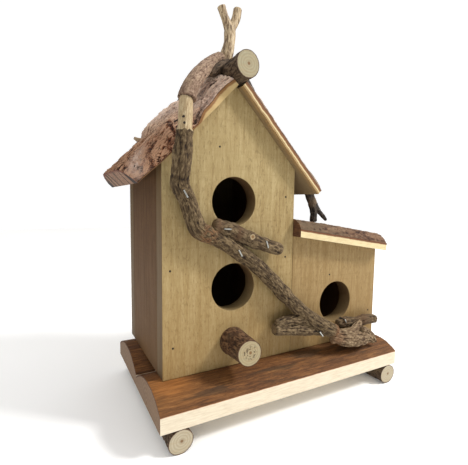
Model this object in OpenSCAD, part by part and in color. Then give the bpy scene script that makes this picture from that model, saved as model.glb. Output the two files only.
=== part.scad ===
// Rustic birdhouse: a tall two-storey house with a lean-to annex on a two-plank base.
// Half-log bark slabs roof it, a log caps the ridge, and trained vine wood climbs the front.
// Frame: the origin is on the ground under the middle, X runs right along the front,
// Y runs to the back and Z up. All sizes are in millimetres.

/* [Base] */
// Width of the base along the front
base_w = 231; // [229:1:233]
// Depth of the base
base_d = 140; // [138:1:142]
// Height of the plank crests above the underside of the base
plank_t = 21.5; // [20:0.5:23]
// Diameter of the two foot logs
foot_d = 18.5; // [18:0.1:19]

/* [House] */
// Outer width of the tall house
main_w = 116; // [114:1:118]
// Outer width of the annex
annex_w = 104; // [100:1:104]
// Depth over the front and rear panels
house_d = 104; // [100:1:104]
// Distance of the front panels behind the front edge of the base
front_set = 28; // [26:1:30]
// Thickness of the front and rear panels
panel_t = 14; // [12:0.5:15]
// Thickness of the side walls
wall_t = 12; // [10:0.5:13]
// Height of the gable's tip above the plank crests
gable_h = 219.5; // [216:0.5:223]
// Slope of the main roof in degrees
roof_pitch = 46; // [45:0.5:47]
// Height of the annex front where it meets the tall house
annex_h = 103; // [101:0.5:105]
// Slope of the annex roof in degrees
annex_pitch = 9; // [8:0.5:10]
// Height of the lower storey, from the plank crests to the upper floor
storey_h = 85; // [84:0.5:87]
// Thickness of the upper floor
shelf_t = 10; // [8:0.5:11]
// Depth of the grooves that hold the upper floor
groove = 4; // [3:0.5:5]

/* [Entrances] */
// Diameter of the entrance and clean-out holes
hole_d = 38; // [36:0.5:38]
// Height of the upper entrance above the plank crests
upper_hole_h = 132; // [130:0.5:134]
// Height of the lower entrance above the plank crests
lower_hole_h = 64.5; // [60:0.5:65]
// Height of the annex entrance above the plank crests
annex_hole_h = 39; // [37:0.5:42]

/* [Clean-out covers] */
// Height of the two ground-floor clean-out holes above the plank crests
cleanout_h = 26; // [25:0.5:28]
// Height of the upper clean-out hole above the plank crests
upper_cleanout_h = 118; // [117:0.5:119]
// Radius of a cover where it closes its hole
cover_r = 24; // [22:0.5:24]
// Distance from a hole's centre up to its cover's pivot screw
cover_rise = 32; // [31:0.5:33]
// Thickness of a cover
cover_t = 5; // [4:0.5:5]

/* [Roof] */
// Thickness of a main roof slab along its crown
slab_t = 15; // [13:0.5:16]
// Thickness of a main roof slab along its front and rear edges
slab_edge = 5; // [4:0.5:7]
// Width of the round shoulder along each edge of a slab
slab_shoulder = 24; // [20:1:28]
// How far the roof stands past the front and rear panels
rake = 8; // [7:0.5:8]
// Length of the left slab from the ridge down to its eave
left_slope = 105; // [100:0.5:106]
// Length of the right slab from the ridge down to its eave
right_slope = 111.5; // [108:0.5:113]
// Thickness of the annex slab along its crown
annex_slab_t = 16; // [14:0.5:17]
// Thickness of the annex slab along its sawn front edge
annex_slab_edge = 7; // [6:0.5:8]

/* [Logs] */
// Diameter of the ridge log
ridge_d = 19.7; // [19:0.1:20.5]
// How far the ridge log stands out in front of the panel
ridge_out = 18; // [15:0.5:20]
// Diameter of the perch log at the panel
perch_d = 24; // [22:0.5:25]
// Length of the perch log
perch_len = 27; // [24:0.5:27]
// Height of the perch log above the plank crests
perch_h = 20.5; // [19:0.5:22]

/* [Hidden] */

$fn = 64;
eps = 0.01;

// Base and feet: the feet have small flats, so the base sits this far above the ground.
base_z = 17.5;
floor_z = base_z + plank_t;
foot_inset_left = 14.3;
foot_inset_right = 9.7;
plank_w = base_d / 2;
// The annex roof reaches further out than the left eave, so the base sits right of the origin.
base_x0 = -base_w / 2 + 6;
base_x1 = base_x0 + base_w;
left_foot_x = base_x0 + foot_inset_left;
right_foot_x = base_x1 - foot_inset_right;

// House outline
front_y = -base_d / 2 + front_set;
rear_y = front_y + house_d;
wall_y0 = front_y + panel_t;
wall_y1 = rear_y - panel_t;
main_x0 = base_x0 + 10;
main_x1 = main_x0 + main_w;
main_cx = main_x0 + main_w / 2;
annex_x1 = main_x1 + annex_w;
annex_cx = main_x1 + annex_w / 2;
apex_z = floor_z + gable_h;
annex_top_z = floor_z + annex_h;

// Roof
roof_y0 = front_y - rake;
roof_y1 = rear_y + rake - 0.5;
roof_w = roof_y1 - roof_y0;
roof_cy = (roof_y0 + roof_y1) / 2;
ridge_gap = 2.7;
annex_slab_y0 = front_y - 10;
annex_slab_w = rear_y + 7 - annex_slab_y0;
annex_slab_len = (annex_w + 3) / cos(annex_pitch);

// The ridge log lies in the notch between the square-cut upper ends of the two slabs.
ridge_z = apex_z + (ridge_d / 2 - ridge_gap) / sin(roof_pitch);

// Each opening of the front and rear as [x, z]
upper_hole = [main_cx, floor_z + upper_hole_h];
lower_hole = [main_cx, floor_z + lower_hole_h];
annex_hole = [annex_cx, floor_z + annex_hole_h];
upper_cleanout = [main_cx, floor_z + upper_cleanout_h];
lower_cleanout = [main_cx, floor_z + cleanout_h];
annex_cleanout = [annex_cx, floor_z + cleanout_h];
cleanouts = [upper_cleanout, lower_cleanout, annex_cleanout];

// Clean-out covers hang on screws with a running clearance.
cover_gap = 0.3;
cover_neck_r = 9;
screw_r = 1.75;
screw_clearance = 0.05;
screw_len = 16;

// Colours
pale = [0.72, 0.62, 0.40];
brown_wall = [0.40, 0.29, 0.20];
bark_red = [0.52, 0.33, 0.25];
bark_dark = [0.32, 0.25, 0.19];
inner_bark = [0.60, 0.33, 0.17];
vine_brown = [0.40, 0.31, 0.24];
peeled = [0.78, 0.66, 0.47];
steel = [0.75, 0.75, 0.74];

// ---- Shared shapes -------------------------------------------------------------------

// Half-log cross-section: flat below, with a crown at crest_y along its width.
module crown_profile(width, crown, radius, crest_y) {
    intersection() {
        square([width, crown]);
        translate([crest_y, crown - radius]) circle(radius, $fn = 180);
    }
}

// Slab cross-section: flat below and along the crown, with a round shoulder to each edge.
module shoulder_profile(width, edge, crown, shoulder) {
    drop = crown - edge;
    radius = (shoulder * shoulder + drop * drop) / (2 * drop);
    translate([shoulder, 0]) square([width - 2 * shoulder, crown]);
    intersection() {
        square([width, crown]);
        union() {
            translate([shoulder, crown - radius]) circle(radius, $fn = 96);
            translate([width - shoulder, crown - radius]) circle(radius, $fn = 96);
        }
    }
}

// Half-log slab lying along +X from the origin, centred in Y, flat side on Z = 0.
module half_log_slab(length, width, edge, crown) {
    rotate([90, 0, 90])
        linear_extrude(length)
            translate([-width / 2, 0]) shoulder_profile(width, edge, crown, slab_shoulder);
}

// Everything below the undersides of the main roof.
module under_main_roof() {
    reach = main_w;
    drop = reach * tan(roof_pitch);
    rotate([90, 0, 0])
        linear_extrude(3 * base_d, center = true)
            polygon([[main_cx, apex_z], [main_cx - reach, apex_z - drop], [main_cx - reach, 0],
                     [main_cx + reach, 0], [main_cx + reach, apex_z - drop]]);
}

// Everything below the underside of the annex roof.
module under_annex_roof() {
    reach = annex_w + 2 * wall_t;
    rotate([90, 0, 0])
        linear_extrude(3 * base_d, center = true)
            polygon([[main_x1, 0], [main_x1 + reach, 0],
                     [main_x1 + reach, annex_top_z - reach * tan(annex_pitch)],
                     [main_x1, annex_top_z]]);
}

// Round hole through a panel along Y at [x, z].
module panel_hole(at) {
    translate([at[0], 0, at[1]])
        rotate([90, 0, 0]) cylinder(d = hole_d, h = 2 * base_d, center = true);
}

// Board from corner [x0, y0] to [x1, y1], standing on the plank crests.
module standing_board(x0, x1, y0, y1) {
    translate([x0, y0, floor_z]) cube([x1 - x0, y1 - y0, gable_h]);
}

function unit(v) = v / norm(v);

// Direction of travel at point i of a path of [x, y, z, diameter] points.
function along(path, i) =
    let (a = path[max(i - 1, 0)], b = path[min(i + 1, len(path) - 1)])
    unit([b[0] - a[0], b[1] - a[1], b[2] - a[2]]);

function ring(path, i, sides) =
    let (t = along(path, i), u = unit(cross(t, [0, 1, 0])), v = cross(t, u), p = path[i])
    [for (k = [0 : sides - 1])
        let (a = 360 * k / sides)
        [p[0], p[1], p[2]] + p[3] / 2 * (cos(a) * u + sin(a) * v)];

// Branch swept along a path of [x, y, z, diameter] points, with sawn ends.
module limb(path, sides = 10) {
    rings = len(path);
    points = [for (i = [0 : rings - 1]) each ring(path, i, sides)];
    skin = [for (i = [0 : rings - 2], k = [0 : sides - 1])
        let (a = i * sides + k, b = i * sides + (k + 1) % sides)
        each [[a, b, b + sides], [a, b + sides, a + sides]]];
    start = [for (k = [sides - 1 : -1 : 0]) k];
    end = [for (k = [0 : sides - 1]) (rings - 1) * sides + k];
    polyhedron(points, concat([start], skin, [end]), convexity = 6);
}

// Nail with a round head, driven along -Z from the origin, with the head's underside at Z = 0.
module nail(length, shank_r = 0.8, head_r = 1.9, head_t = 0.7) {
    translate([0, 0, -length]) cylinder(r = shank_r, h = length, $fn = 16);
    cylinder(r = head_r, h = head_t, $fn = 24);
}

// ---- Base ----------------------------------------------------------------------------

// A strip along each plank's crown is planed off by this much, for the house to stand on.
crown_flat = 0.4;

module base_front_plank() {
    corner_r = 12;
    crown_r = 72;
    color(inner_bark)
        translate([base_x0, -plank_w, base_z])
            rotate([90, 0, 90])
                linear_extrude(base_w)
                    intersection() {
                        crown_profile(plank_w, plank_t + crown_flat, crown_r, front_set);
                        square([plank_w, plank_t]);
                        union() {
                            translate([corner_r, 0]) square([plank_w, plank_t + 1]);
                            translate([corner_r, plank_t - corner_r - 0.5]) circle(corner_r);
                            square([corner_r + 1, plank_t - corner_r - 0.5]);
                        }
                    }
}

module base_rear_plank() {
    crown_r = 62;
    color(inner_bark)
        translate([base_x0, 0, base_z])
            rotate([90, 0, 90])
                linear_extrude(base_w)
                    intersection() {
                        crown_profile(plank_w, plank_t + crown_flat, crown_r, plank_w / 2 + 1);
                        square([plank_w, plank_t]);
                    }
}

// Foot log along Y with a flat planed on its top and a flat worn under it.
module foot_log(x) {
    color(bark_dark)
        intersection() {
            translate([x, 0, base_z / 2])
                rotate([90, 0, 0]) cylinder(d = foot_d, h = base_d, center = true);
            translate([x - foot_d, -base_d, 0]) cube([2 * foot_d, 2 * base_d, base_z]);
        }
}

module left_foot_log() { foot_log(left_foot_x); }

module right_foot_log() { foot_log(right_foot_x); }

// ---- House box -----------------------------------------------------------------------

module front_panel() {
    color(pale)
        difference() {
            intersection() {
                standing_board(main_x0, main_x1, front_y, front_y + panel_t);
                under_main_roof();
            }
            panel_hole(upper_hole);
            panel_hole(lower_hole);
        }
}

module annex_front_panel() {
    color(pale)
        difference() {
            intersection() {
                standing_board(main_x1, annex_x1, front_y, front_y + panel_t);
                under_annex_roof();
            }
            panel_hole(annex_hole);
        }
}

module rear_panel() {
    color(pale)
        difference() {
            intersection() {
                standing_board(main_x0, main_x1, rear_y - panel_t, rear_y);
                under_main_roof();
            }
            panel_hole(upper_cleanout);
            panel_hole(lower_cleanout);
        }
}

module annex_rear_panel() {
    color(pale)
        difference() {
            intersection() {
                standing_board(main_x1, annex_x1, rear_y - panel_t, rear_y);
                under_annex_roof();
            }
            panel_hole(annex_cleanout);
        }
}

// Shelf between the storeys, let into grooves in both side walls.
module floor_board() {
    translate([main_x0 + wall_t - groove, wall_y0, floor_z + storey_h])
        cube([main_w - 2 * wall_t + 2 * groove, wall_y1 - wall_y0, shelf_t]);
}

module upper_floor() { color(pale) floor_board(); }

module left_side_wall() {
    color(brown_wall)
        difference() {
            intersection() {
                standing_board(main_x0, main_x0 + wall_t, wall_y0, wall_y1);
                under_main_roof();
            }
            floor_board();
        }
}

module partition_wall() {
    color(brown_wall)
        difference() {
            intersection() {
                standing_board(main_x1 - wall_t, main_x1, wall_y0, wall_y1);
                under_main_roof();
            }
            floor_board();
        }
}

module annex_side_wall() {
    color(brown_wall)
        intersection() {
            standing_board(annex_x1 - wall_t, annex_x1, wall_y0, wall_y1);
            under_annex_roof();
        }
}

// ---- Roof ----------------------------------------------------------------------------

// Main roof slab running down to the right of the ridge, from its square-cut upper end.
module main_slab(slope) {
    translate([main_cx, roof_cy, apex_z])
        rotate([0, roof_pitch, 0])
            translate([ridge_gap, 0, 0])
                half_log_slab(slope - ridge_gap, roof_w, slab_edge, slab_t);
}

module right_roof_slab() { color(bark_red) main_slab(right_slope); }

module left_roof_slab() {
    color(bark_red)
        translate([2 * main_cx, 0, 0]) mirror([1, 0, 0]) main_slab(left_slope);
}

// Annex slab, sloping down to the right, cut upright where it meets the tall house.
module annex_roof_slab() {
    joint_gap = 0.2;
    color(bark_red)
        intersection() {
            translate([main_x1, annex_slab_y0 + annex_slab_w / 2, annex_top_z])
                rotate([0, annex_pitch, 0])
                    half_log_slab(annex_slab_len, annex_slab_w, annex_slab_edge, annex_slab_t);
            translate([main_x1 + joint_gap, -base_d, 0])
                cube([2 * annex_w, 2 * base_d, 2 * annex_top_z]);
        }
}

module ridge_log() {
    color(bark_dark)
        translate([main_cx, front_y - ridge_out, ridge_z])
            rotate([-90, 0, 0]) cylinder(d = ridge_d, h = roof_y1 - 1 - front_y + ridge_out);
}

module perch_log() {
    color(bark_dark)
        translate([main_cx, front_y, floor_z + perch_h])
            rotate([90, 0, 0]) cylinder(d1 = perch_d, d2 = perch_d - 3, h = perch_len);
}

// ---- Vine wood -----------------------------------------------------------------------

vine_y = front_y - 7;
root_y = front_y - 19;

// Main stem: peeled where it crosses the roof edge, then down across the front to the root.
front_vine_path = [
    [-86.5, -56, 239, 10], [-87.5, -56, 218, 10.5], [-88.5, -55, 204, 13],
    [-89, -52.5, 190.5, 13], [-88.5, -50, 182.5, 13], [-83, vine_y, 171.5, 12.5],
    [-78.5, vine_y, 159.5, 12.5], [-74, vine_y, 151, 13], [-62.5, vine_y, 145, 12.5],
    [-51.5, vine_y, 139.5, 12], [-40.5, vine_y, 132, 12], [-18, vine_y, 115, 12],
    [3, vine_y, 94.5, 11.5], [13, vine_y - 1, 85, 11.5], [25, -52, 73.5, 11.5],
    [35.5, -55, 64.5, 11], [45, -59, 57.5, 11]];
short_branch_path = [
    [-60.5, vine_y - 1, 154.5, 8], [-48.5, vine_y - 1, 149.5, 10], [-35, vine_y - 1, 143, 10.5],
    [-22, vine_y - 1, 138.5, 10], [-8, vine_y - 1, 134, 10], [-2, vine_y - 1, 133.5, 8]];
lower_left_stub_path = [
    [-6, vine_y - 1, 65, 8.5], [3, vine_y - 1, 67, 10.5], [15, vine_y - 1, 68.5, 9.5]];
root_path = [
    [49, root_y, 54.5, 10], [64.5, root_y, 48, 13], [77.5, root_y, 45, 14],
    [95.5, root_y, 45.5, 10], [103, root_y, 40, 4]];
lower_right_stub_path = [
    [64, vine_y - 1, 59, 8], [76, vine_y - 1, 59.5, 9.5], [88.5, vine_y - 1, 58, 8.5],
    [103, vine_y - 1, 58, 10], [114.5, vine_y - 1, 57, 8]];

// Upper stem: from the roof edge over the left slab to the ridge.
arch_path = [
    [-85, -55, 241, 12], [-84, -54, 245, 12.5], [-79, -51, 252.5, 12], [-72, -46, 261, 11.5],
    [-63, -35, 270, 11.5], [-54, -26, 278, 11.5], [-43, -20, 284.5, 11], [-36, -16, 285, 10]];
// Side stem: from the ridge down the right slab and over its eave to the annex roof.
right_vine_path = [
    [-34, -16, 284, 9], [-25, -17, 278, 9], [-17, -18, 265.5, 9], [-6, -19, 251, 9],
    [20, -20, 224, 9], [40, -20, 203.5, 9], [48, -20, 195.5, 9], [52.5, -20, 188.5, 9],
    [51.5, -20, 180, 9], [55.5, -20, 171, 8.5], [57.5, -20, 163, 7], [57.5, -20, 152.5, 7]];

// Fork: a stem and two prongs, each a run of [x, z, diameter] points in the plane of twig_y.
twig_y = -22;
twig_fork = [-37, 310, 7.5];
twig_runs = [[[-41, 291, 9], [-38.5, 298, 8], twig_fork],
             [twig_fork, [-40.5, 317, 6.5], [-44, 325.5, 6.5]],
             [twig_fork, [-33.5, 317, 6.5], [-30.5, 325.5, 6.5]]];

module front_vine() { color(vine_brown) limb(front_vine_path); }

module short_branch() { color(vine_brown) limb(short_branch_path); }

module lower_left_stub() { color(vine_brown) limb(lower_left_stub_path); }

module root_piece() { color(vine_brown) limb(root_path); }

module lower_right_stub() { color(vine_brown) limb(lower_right_stub_path); }

module vine_arch() { color(bark_red) limb(arch_path); }

module right_vine() { color(bark_dark) limb(right_vine_path); }

// Round bar between two [x, z, diameter] points of the twig, reaching a little past its start.
module twig_bar(a, b) {
    run = norm([b[0] - a[0], b[1] - a[1]]);
    lap = 1.2;
    translate([a[0], twig_y, a[1]])
        rotate([0, atan2(b[0] - a[0], b[1] - a[1]), 0])
            translate([0, 0, -lap]) cylinder(d = (a[2] + b[2]) / 2, h = run + lap, $fn = 24);
}

module forked_twig() {
    color(peeled)
        for (run = twig_runs, i = [0 : len(run) - 2]) twig_bar(run[i], run[i + 1]);
}

// ---- Clean-out covers ----------------------------------------------------------------

// Egg-shaped outline: a disc over the hole and a narrow neck up to the pivot.
module cover_outline() {
    lean = asin((cover_r - cover_neck_r) / cover_rise);
    wide = cover_r * [cos(lean), sin(lean)];
    neck = [0, cover_rise] + cover_neck_r * [cos(lean), sin(lean)];
    circle(cover_r);
    translate([0, cover_rise]) circle(cover_neck_r);
    polygon([wide, neck, [-neck[0], neck[1]], [-wide[0], wide[1]]]);
}

module clean_out_cover(at) {
    color(brown_wall)
        translate([at[0], rear_y + cover_gap + cover_t, at[1]])
            rotate([90, 0, 0])
                difference() {
                    linear_extrude(cover_t) cover_outline();
                    translate([0, cover_rise, -eps])
                        cylinder(r = screw_r + screw_clearance, h = cover_t + 2 * eps);
                }
}

module upper_cover() { clean_out_cover(upper_cleanout); }

module lower_cover() { clean_out_cover(lower_cleanout); }

module annex_cover() { clean_out_cover(annex_cleanout); }

// Round-headed screws through the covers into the rear panels.
module cover_pivot_screws() {
    head_t = 1.6;
    color(steel)
        for (at = cleanouts)
            translate([at[0], rear_y + cover_t + 2 * cover_gap, at[1] + cover_rise])
                rotate([-90, 0, 0]) {
                    translate([0, 0, -screw_len]) cylinder(r = screw_r, h = screw_len + eps);
                    difference() {
                        cylinder(r1 = 3.6, r2 = 2.4, h = head_t);
                        translate([-0.4, -3, head_t - 0.7]) cube([0.8, 6, 1]);
                    }
                }
}

// ---- Fasteners -----------------------------------------------------------------------

// Staple over a branch: [x, z, angle of the crown, distance in front of the panel, leg].
// The last one has short legs, because it sits in front of the low entrance.
staple_places = [[-86.5, 176, 60, 14, 20], [-54, 151, 5, 14, 20], [-43, 132.5, 60, 14, 20],
                 [-19, 138, 70, 14, 20], [34.5, 58.5, 50, 20, 26], [70.5, 61.5, 60, 13, 8]];

module vine_staples() {
    wire = 1;
    crown_w = 6;
    color(steel)
        for (s = staple_places)
            translate([s[0], front_y - s[3], s[1]]) rotate([0, s[2], 0]) {
                translate([-crown_w / 2, 0, -wire / 2]) cube([crown_w, wire, wire]);
                for (side = [-1, 1])
                    translate([side * (crown_w - wire) / 2 - wire / 2, 0, -wire / 2])
                        cube([wire, s[4], wire]);
            }
}

// Two nails through the peeled stretch of the vine into the roof edge.
module vine_nails() {
    color(bark_dark)
        for (at = [[-90, 226], [-89.5, 222]])
            translate([at[0], -60.7, at[1]])
                rotate([90, 0, 0]) nail(20, shank_r = 0.6, head_r = 0.8, head_t = 0.5);
}

// Sunk panel pins over the side walls: [x, z, length].
brad_sunk = 0.4;
front_brads = [[main_x0 + 6, 120.5, 30], [main_x0 + 8, 62.5, 30], [main_x1 - 9, 175.5, 30],
               [main_x1 - 8, 124.5, 30], [main_cx - 13, 212, 12], [annex_cx - 8.5, 104.5, 12],
               [annex_x1 - 7, 63.5, 30]];

module panel_brads() {
    color(bark_dark)
        for (b = front_brads)
            translate([b[0], front_y + brad_sunk, b[1]])
                rotate([90, 0, 0]) nail(b[2], shank_r = 0.6, head_r = 0.8, head_t = 0.5);
}

// Pins through the rear panels into all three side walls; the low annex wall takes only two.
module rear_brads() {
    color(bark_dark)
        for (x = [main_x0 + 6, main_x1 - 6, annex_x1 - 6], h = [12, 50, 90])
            if (x < annex_x1 - wall_t || h < storey_h)
                translate([x, rear_y - brad_sunk, floor_z + h])
                    rotate([-90, 0, 0]) nail(30, shank_r = 0.7, head_r = 1, head_t = 0.5);
}

// Nails down through the roof slabs into the edges of the front and rear panels.
module slope_nails() {
    shoulder_drop = 1.6;
    for (y = [front_y + panel_t / 2, rear_y - panel_t / 2], along_slope = [32, 68])
        translate([main_cx, y, apex_z])
            rotate([0, roof_pitch, 0])
                translate([along_slope, 0, slab_t - shoulder_drop]) nail(32);
}

module roof_nails() {
    shoulder_drop = 1.2;
    color(steel) {
        slope_nails();
        translate([2 * main_cx, 0, 0]) mirror([1, 0, 0]) slope_nails();
        for (y = [front_y + panel_t / 2, rear_y - panel_t / 2], run = [25, 85])
            translate([main_x1, y, annex_top_z])
                rotate([0, annex_pitch, 0])
                    translate([run, 0, annex_slab_t - shoulder_drop]) nail(34);
    }
}

module ridge_nails() {
    color(steel)
        for (y = [front_y + panel_t / 2, rear_y - panel_t / 2])
            translate([main_cx, y, ridge_z + ridge_d / 2 - 0.5]) nail(42);
}

// Sunk nails up through the foot logs into the planks.
module foot_nails() {
    color(steel)
        for (x = [left_foot_x, right_foot_x], y = [-42, 42])
            translate([x, y, 2]) mirror([0, 0, 1]) nail(28);
}

// Nails up through the planks into the lower edges of the front and rear panels.
module base_nails() {
    color(steel)
        for (x = [main_x0 + 30, main_x1 - 20, main_x1 + 24, annex_x1 - 24],
             y = [front_y + panel_t / 2, rear_y - panel_t / 2])
            translate([x, y, base_z + 0.7]) mirror([0, 0, 1]) nail(42);
}

// Countersunk screw from inside the lower storey that holds the perch log.
module perch_screw() {
    head_t = 2.4;
    shank = 30;
    color(steel)
        translate([main_cx, wall_y0, floor_z + perch_h])
            rotate([90, 0, 0]) {
                cylinder(r = 1.75, h = shank, $fn = 24);
                cylinder(r1 = 3.6, r2 = 1.75, h = head_t, $fn = 32);
            }
}

base_front_plank();
base_rear_plank();
left_foot_log();
right_foot_log();
front_panel();
annex_front_panel();
rear_panel();
annex_rear_panel();
left_side_wall();
partition_wall();
annex_side_wall();
upper_floor();
left_roof_slab();
right_roof_slab();
annex_roof_slab();
ridge_log();
perch_log();
front_vine();
short_branch();
lower_left_stub();
root_piece();
lower_right_stub();
vine_arch();
forked_twig();
right_vine();
upper_cover();
lower_cover();
annex_cover();
cover_pivot_screws();
vine_staples();
vine_nails();
panel_brads();
rear_brads();
roof_nails();
ridge_nails();
foot_nails();
base_nails();
perch_screw();
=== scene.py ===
import math

import bpy
import numpy as np
from mathutils import Matrix, Vector


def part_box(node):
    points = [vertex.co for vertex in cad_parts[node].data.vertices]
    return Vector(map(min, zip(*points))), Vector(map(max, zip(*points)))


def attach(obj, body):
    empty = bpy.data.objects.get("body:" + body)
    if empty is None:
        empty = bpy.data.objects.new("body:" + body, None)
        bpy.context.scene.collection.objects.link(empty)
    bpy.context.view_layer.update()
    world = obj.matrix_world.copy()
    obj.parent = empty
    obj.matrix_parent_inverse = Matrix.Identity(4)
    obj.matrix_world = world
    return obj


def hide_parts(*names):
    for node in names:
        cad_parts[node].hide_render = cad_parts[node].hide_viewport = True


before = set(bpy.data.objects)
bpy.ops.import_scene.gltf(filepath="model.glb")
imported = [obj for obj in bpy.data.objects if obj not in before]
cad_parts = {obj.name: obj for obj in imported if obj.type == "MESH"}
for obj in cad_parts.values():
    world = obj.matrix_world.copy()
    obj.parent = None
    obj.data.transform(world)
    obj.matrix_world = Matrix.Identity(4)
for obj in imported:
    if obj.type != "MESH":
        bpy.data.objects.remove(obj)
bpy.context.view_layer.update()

scene = bpy.context.scene
MM = 0.001


def corners(node):
    """Lowest and highest corner of a CAD node, in mm."""
    low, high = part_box(node)
    return np.array(low) / MM, np.array(high) / MM


# ---- Driving values ----

PANEL_LOW, PANEL_HIGH = corners("front_panel")
ANNEX_LOW, ANNEX_HIGH = corners("annex_front_panel")
FRONT_Y = PANEL_LOW[1]
REAR_Y = corners("rear_panel")[1][1]
RIDGE_X = (PANEL_LOW[0] + PANEL_HIGH[0]) / 2
RIDGE_Z = PANEL_HIGH[2]

# The main roof: where its slabs start and end down the slope, how thick they are at the edge and
# in the middle, and how far in from the edge their round shoulder reaches.
ROOF_PITCH = math.radians(46)
ROOF_Y0 = FRONT_Y - 8
ROOF_Y1 = REAR_Y + 7.5
RIDGE_GAP = 2.7
LEFT_SLOPE = 105
RIGHT_SLOPE = 111.5
SLAB_EDGE = 5
SLAB_CROWN = 15
SHOULDER = 24

# The annex roof, and its gap to the tall house.
ANNEX_PITCH = math.radians(9)
ANNEX_SLAB_Y0 = FRONT_Y - 10
ANNEX_SLAB_Y1 = REAR_Y + 7
ANNEX_SLAB_EDGE = 7
ANNEX_SLAB_CROWN = 15.4
ANNEX_SLAB_LENGTH = 108.3
ANNEX_SHOULDER = 12
ANNEX_JOINT_GAP = 0.2

# How far in front of the panels the vine wood runs.
VINE_Y = FRONT_Y - 7
ROOT_Y = FRONT_Y - 19

# Stems as [x, y, z, diameter] points. Those that stand for a CAD node follow its route, and are a
# little longer or thicker where stems meet.
FRONT_VINE = [
    [-85.6, -53.6, 241.5, 7], [-86.3, -55.4, 238.5, 9.2], [-87.5, -56, 218, 10.2], [-88.5, -55, 204, 13],
    [-89, -52.5, 190.5, 13], [-88.5, -50, 182.5, 13], [-83, VINE_Y, 171.5, 12.5],
    [-78.5, VINE_Y, 159.5, 12.5], [-74, VINE_Y, 151, 13], [-62.5, VINE_Y, 145, 12.5],
    [-51.5, VINE_Y, 139.5, 12], [-40.5, VINE_Y, 132, 12], [-18, VINE_Y, 115, 12],
    [3, VINE_Y, 94.5, 11.5], [13, VINE_Y - 1, 85, 11.5], [25, -52, 74, 12],
    [35.5, -55, 66, 12.8], [45, -58, 60.5, 13], [51.5, -59, 57.5, 11], [54.5, -59.5, 56.2, 6.5]]
SHORT_BRANCH = [
    [-63, VINE_Y - 1, 154, 9.5], [-48.5, VINE_Y - 1, 149.5, 11.3], [-35, VINE_Y - 1, 143.5, 12],
    [-22, VINE_Y - 1, 138.5, 11], [-8, VINE_Y - 1, 134, 11], [-2, VINE_Y - 1, 132.5, 9.5]]
SHORT_BRANCH_KNOT = [[-33, VINE_Y - 4, 144.5, 8], [-33.6, VINE_Y - 8.4, 144.7, 7.4]]
LOWER_LEFT_STUB = [
    [-7, VINE_Y - 1, 65.5, 10.5], [9, VINE_Y - 1.5, 63.5, 10], [25, -53, 61, 10], [37, -55, 59, 9],
    [47, -57, 56.5, 8]]
LOWER_LEFT_STRAND = [
    [-5, VINE_Y - 1, 69.5, 7], [6, VINE_Y - 1, 71, 8.5], [20, VINE_Y - 1.5, 71, 9.5], [33, -53.5, 66, 9]]
ROOT_PIECE = [
    [48, ROOT_Y + 1, 53, 8], [59, ROOT_Y, 50, 11.5], [72, ROOT_Y, 47.5, 13], [85, ROOT_Y, 46.5, 12],
    [94, ROOT_Y, 44.5, 8], [100.5, ROOT_Y - 0.5, 38.5, 3]]
ROOT_RIDGE = [
    [53, ROOT_Y + 2, 56, 6], [63, ROOT_Y, 54.5, 7], [73, ROOT_Y, 55, 7], [82, ROOT_Y + 3, 57.5, 6.5],
    [89, ROOT_Y + 6, 58.5, 4.5]]
ROOT_SPIKE = [
    [84, ROOT_Y, 54.5, 6.5], [92, ROOT_Y, 51, 6], [98, ROOT_Y - 1, 46, 4.5],
    [102.5, ROOT_Y - 1.5, 39.5, 2]]
LOWER_RIGHT_STUB = [
    [64, VINE_Y - 1, 59, 8], [76, VINE_Y - 1, 59.5, 9.5], [88.5, VINE_Y - 1, 58, 8.5],
    [103, VINE_Y - 1, 58, 10], [114.5, VINE_Y - 1, 57, 8]]
VINE_ARCH = [
    [-85.9, -55.6, 238.6, 12.6], [-84.3, -54.3, 244, 11.4], [-79, -51, 252.5, 11.2], [-72, -46, 261, 10.8],
    [-63, -35, 270, 10.6], [-54, -26, 278, 10.6], [-43, -20, 284.5, 10.5], [-36, -16, 285, 10]]
RIGHT_VINE = [
    [-34, -16, 284, 9], [-25, -17, 278, 9], [-17, -18, 265.5, 9], [-6, -19, 251, 9],
    [20, -20, 224, 9], [40, -20, 203.5, 9], [48, -20, 195.5, 9], [52.5, -20, 188.5, 9],
    [51.5, -20, 180, 9], [55.5, -20, 171, 8.5], [57.5, -20, 163, 7], [57.5, -20, 152.5, 7]]
RIGHT_VINE_SPUR = [[57, -21, 170, 6.5], [61.5, -21.5, 164, 5], [67, -22, 158.5, 4], [72, -22, 154, 3]]
ARCH_SPUR = [[-61, -40, 263.5, 4], [-55.5, -36, 268.5, 7.5], [-48, -31, 274, 9], [-39, -24, 280, 8.5]]
TWIG_STEM = [
    [-42, -20, 281, 12], [-39, -22, 290, 10.6], [-37.2, -22, 298, 9.2], [-37, -22, 305, 9],
    [-37, -22, 310, 8.5]]
TWIG_LEFT = [[-37.5, -22, 306, 7.5], [-39.5, -22, 312, 7], [-42.5, -22, 318, 6.6], [-45, -22, 324, 6.8]]
TWIG_RIGHT = [[-36.5, -22, 306, 7.5], [-34.3, -22, 312, 7], [-31.5, -22, 318, 6.8], [-30, -22, 325.5, 7]]
BARK_NUB = [[-84, 42, 224, 6], [-90.5, 41, 225, 4.6], [-96, 40, 225, 3.8], [-99.8, 40, 226.6, 3]]

# Height from which the main stem is peeled.
PEELED_FROM = 217.5

# Dark stains on the front plank: [x, y, length, width].
BASE_STAINS = ((30, -52, 26, 6), (-72, -63, 14, 3), (-6, -60, 20, 3), (75, -52, 20, 5))

# How finely the pieces are made: steps along them and voxels in mm, points round a log, rings in a
# sawn end, and the angle in degrees from which an edge is sharp.
SLAB_STEP = 0.75
LOG_STEP = 0.8
LOG_SIDES = 80
CAP_RINGS = 9
TWIG_VOXEL = 0.35
SHARP_ANGLE = 52

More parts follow.
